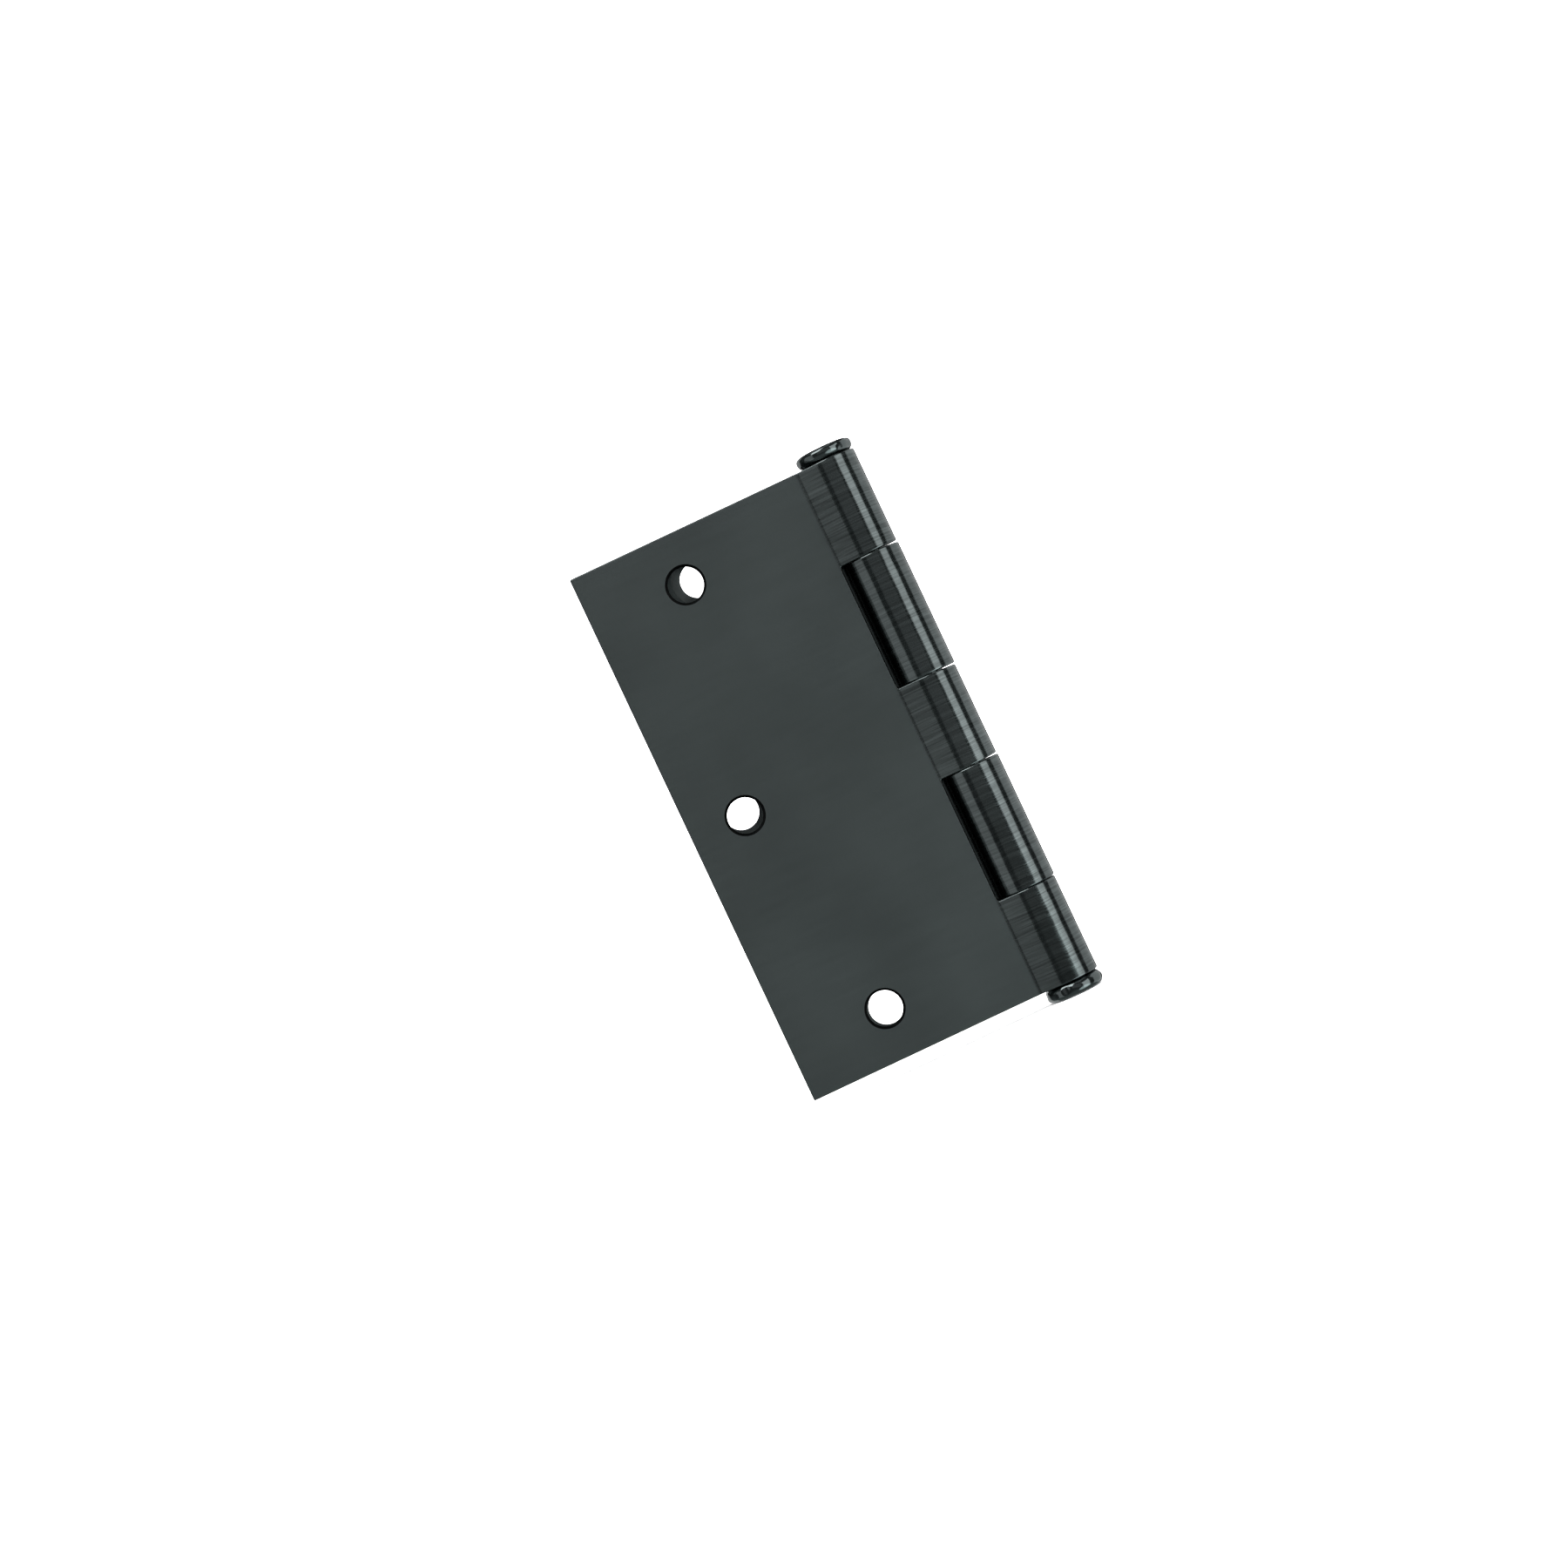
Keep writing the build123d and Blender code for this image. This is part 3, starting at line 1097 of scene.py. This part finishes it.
class HINGE_OT_pin(bpy.types.Operator):
    """Makes the loose pin with its button head"""

    bl_idname = "hinge.pin"
    bl_label = "Pin"

    def execute(self, context):
        sizes = context.scene.hinge_turned
        low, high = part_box("hinge_pin")
        shank_points = [p for p in cad_points("hinge_pin") if p.z < leaf_top - MM]
        shank_radius = max(p.xy.length for p in shank_points)
        end_radius = max(p.xy.length for p in shank_points if p.z < low.z + 0.01 * MM)
        fillet = SMALL_ROUND
        bottom = low.z - leaf_top
        profile = [(0, bottom), (end_radius - fillet, bottom)]
        profile += arc((end_radius - fillet, bottom + fillet), fillet, -90, -20, 4)
        profile += [
            (shank_radius - 0.02 * MM, bottom + PIN_LEAD - fillet),
            (shank_radius, bottom + PIN_LEAD + fillet),
            (shank_radius, -fillet),
            (shank_radius, 0),
        ]
        profile += button_profile(high.y - BUTTON_MARGIN, high.z - leaf_top, sizes)
        piece = turned_piece(
            "pin_with_head", profile, sizes.turn_steps, Matrix.Translation((0, 0, leaf_top))
        )
        hammer(piece.data, leaf_top + 0.05 * MM, high.z, sizes.hammering, 3.0)
        piece.data.materials.append(turned_steel(context.scene.hinge_finish))
        finish_shading(piece)
        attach(piece, "pin")
        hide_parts("hinge_pin")
        return {"FINISHED"}


class HINGE_OT_tip(bpy.types.Operator):
    """Makes the plug that closes the barrel's lower end"""

    bl_idname = "hinge.tip"
    bl_label = "Bottom tip"

    def execute(self, context):
        sizes = context.scene.hinge_turned
        low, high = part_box("bottom_tip")
        height = -leaf_top - low.z
        shank = high.z + leaf_top
        hole, lip = DRIVE_HOLE_RADIUS, SMALL_ROUND
        whole_button = button_profile(high.y - BUTTON_MARGIN, height, sizes)
        button = [point for point in whole_button if point[0] > hole + lip]
        edge = button[-1][1]
        profile = [
            (hole, -shank),
            (bore_radius - TIP_LEAD / 2, -shank),
            (bore_radius, TIP_LEAD - shank),
            (bore_radius, 0),
        ]
        profile += button
        profile += arc((hole + lip, edge - lip), lip, 90, 180, 5)
        profile += [(hole, -shank)]
        turn = Matrix.Translation((0, 0, -leaf_top)) @ Matrix.Rotation(math.pi, 4, "X")
        piece = turned_piece("barrel_tip", profile, sizes.turn_steps, turn)
        hammer(piece.data, low.z, -leaf_top - 0.05 * MM, sizes.hammering, 7.0)
        piece.data.materials.append(turned_steel(context.scene.hinge_finish))
        finish_shading(piece)
        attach(piece, "jamb_leaf")
        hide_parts("bottom_tip")
        return {"FINISHED"}


# ---------------------------------------------------------------- stage

FLOOR_RADIUS = 3.0
CAMERA_AIM = (-27.4 * MM, 1.86 * MM)  # x and z of what the camera looks at, square on
WHITE_STRENGTH = 3.4  # so bright that the paper hardly shows a shadow
ROOM_TINT = (0.9, 1, 1, 1)
CARD_BEARING = (0.5, -0.7, -0.51)

# name, azimuth and elevation in degrees, then distance, width and height, and radiance
SOFTBOXES = (
    ("key", 46, 0, 0.7, 0.36, 1.0, 1.6),
    ("right_back", 116, 0, 0.7, 0.92, 1.2, 0.75),
    ("left_fill", -68, 0, 0.7, 0.5, 0.9, 0.5),
    ("left_back", -150, 0, 0.7, 0.5, 1.2, 0.6),
    ("front", -3, 17, 1.4, 1.3, 1.15, 0.15),
    ("back", 180, 6, 1.4, 1.0, 1.3, 0.24),
    ("top", 0, 89, 0.8, 0.8, 0.8, 0.3),
    ("high_left", -36, 56, 0.7, 0.42, 0.45, 4.0),
)


def softbox(name, azimuth, elevation, distance, width, height, radiance):
    """A soft light at this bearing (0 is -Y, 90 is +X, in degrees), facing the hinge."""
    turn, rise = math.radians(azimuth), math.radians(elevation)
    out = Vector(
        (math.sin(turn) * math.cos(rise), -math.cos(turn) * math.cos(rise), math.sin(rise))
    )
    light = bpy.data.lights.new(name, "AREA")
    light.shape = "RECTANGLE"
    light.size = width
    light.size_y = height
    light.energy = radiance * math.pi * width * height
    lamp = linked(name, light)
    lamp.location = out * distance
    lamp.rotation_mode = "QUATERNION"
    lamp.rotation_quaternion = out.to_track_quat("Z", "Y")
    lamp.visible_camera = False


def studio_world():
    """White all round for the camera and the floor, and a dim room in the metal's reflections."""
    world = bpy.data.worlds.new("studio")
    world.use_nodes = True
    tree = world.node_tree
    tree.nodes.clear()
    white = add(tree, "ShaderNodeBackground", {0: (1, 1, 1, 1), 1: WHITE_STRENGTH}).outputs[0]
    bearing = add(tree, "ShaderNodeTexCoord").outputs["Generated"]
    up = add(tree, "ShaderNodeSeparateXYZ", {0: bearing}).outputs[2]
    glow = add(
        tree,
        "ShaderNodeMapRange",
        {"Value": up, "From Min": -0.15, "From Max": -0.6, "To Min": 0.07, "To Max": 0.25},
    ).outputs[0]
    # a white card lies low at the right front
    nearness = add(
        tree, "ShaderNodeVectorMath", {0: bearing, 1: CARD_BEARING}, operation="DOT_PRODUCT"
    ).outputs["Value"]
    card = add(
        tree,
        "ShaderNodeMapRange",
        {"Value": nearness, "From Min": 0.88, "From Max": 0.94, "To Min": 0.0, "To Max": 1.6},
    ).outputs[0]
    shine = add(tree, "ShaderNodeMath", {0: glow, 1: card}, operation="ADD").outputs[0]
    room = add(tree, "ShaderNodeBackground", {0: ROOM_TINT, 1: shine}).outputs[0]
    ray = add(tree, "ShaderNodeLightPath").outputs["Is Glossy Ray"]
    mixed = add(tree, "ShaderNodeMixShader", {0: ray, 1: white, 2: room}).outputs[0]
    add(tree, "ShaderNodeOutputWorld", {0: mixed})
    return world


class HINGE_OT_stage(bpy.types.Operator):
    """Makes the floor, the soft lights and the camera"""

    bl_idname = "hinge.stage"
    bl_label = "Stage"

    def execute(self, context):
        stage = context.scene.hinge_stage
        low, _ = cad_box
        plan = bmesh.new()
        bmesh.ops.create_circle(plan, cap_ends=True, segments=96, radius=FLOOR_RADIUS)
        mesh = bpy.data.meshes.new("paper_floor")
        plan.to_mesh(mesh)
        plan.free()
        mesh.transform(Matrix.Translation((0, 0, low.z)))
        mesh.materials.append(seamless_paper(stage.floor_colour))
        floor = linked("paper_floor", mesh)
        floor.visible_glossy = False

        for box in SOFTBOXES:
            softbox(*box)

        context.scene.world = studio_world()
        context.scene.view_settings.view_transform = "Standard"

        camera = bpy.data.cameras.new("camera")
        camera.lens = stage.camera_lens
        camera.sensor_width = 36
        camera.clip_start = 0.01
        view = linked("camera", camera)
        view.location = (CAMERA_AIM[0], -stage.camera_distance, CAMERA_AIM[1])
        upright = Matrix.Rotation(math.pi / 2, 4, "X")
        lean = Matrix.Rotation(stage.camera_roll, 4, "Y")
        view.rotation_mode = "QUATERNION"
        view.rotation_quaternion = (lean @ upright).to_quaternion()
        context.scene.camera = view
        return {"FINISHED"}


# ---------------------------------------------------------------- add-on

MAKERS = (HINGE_OT_leaves, HINGE_OT_pin, HINGE_OT_tip, HINGE_OT_stage)
GROUPS = {
    "hinge_leaves": HingeLeafSizes,
    "hinge_turned": HingeTurnedSizes,
    "hinge_finish": HingeFinish,
    "hinge_stage": HingeStage,
}


class HINGE_PT_sidebar(bpy.types.Panel):
    """Lists the hinge's pieces with their sizes"""

    bl_idname = "HINGE_PT_sidebar"
    bl_label = "Butt hinge"
    bl_space_type = "VIEW_3D"
    bl_region_type = "UI"
    bl_category = "Hinge"

    def draw(self, context):
        for maker in MAKERS:
            self.layout.operator(maker.bl_idname)
        for group in GROUPS:
            box = self.layout.box()
            values = getattr(context.scene, group)
            for name in GROUPS[group].__annotations__:
                box.prop(values, name)


def register():
    for group, kind in GROUPS.items():
        bpy.utils.register_class(kind)
        setattr(bpy.types.Scene, group, PointerProperty(type=kind))
    for maker in (*MAKERS, HINGE_PT_sidebar):
        bpy.utils.register_class(maker)


def unregister():
    for maker in (HINGE_PT_sidebar, *reversed(MAKERS)):
        bpy.utils.unregister_class(maker)
    for group, kind in GROUPS.items():
        delattr(bpy.types.Scene, group)
        bpy.utils.unregister_class(kind)


def main():
    register()
    bpy.ops.hinge.leaves()
    bpy.ops.hinge.pin()
    bpy.ops.hinge.tip()
    bpy.ops.hinge.stage()


if __name__ == "__main__":
    main()
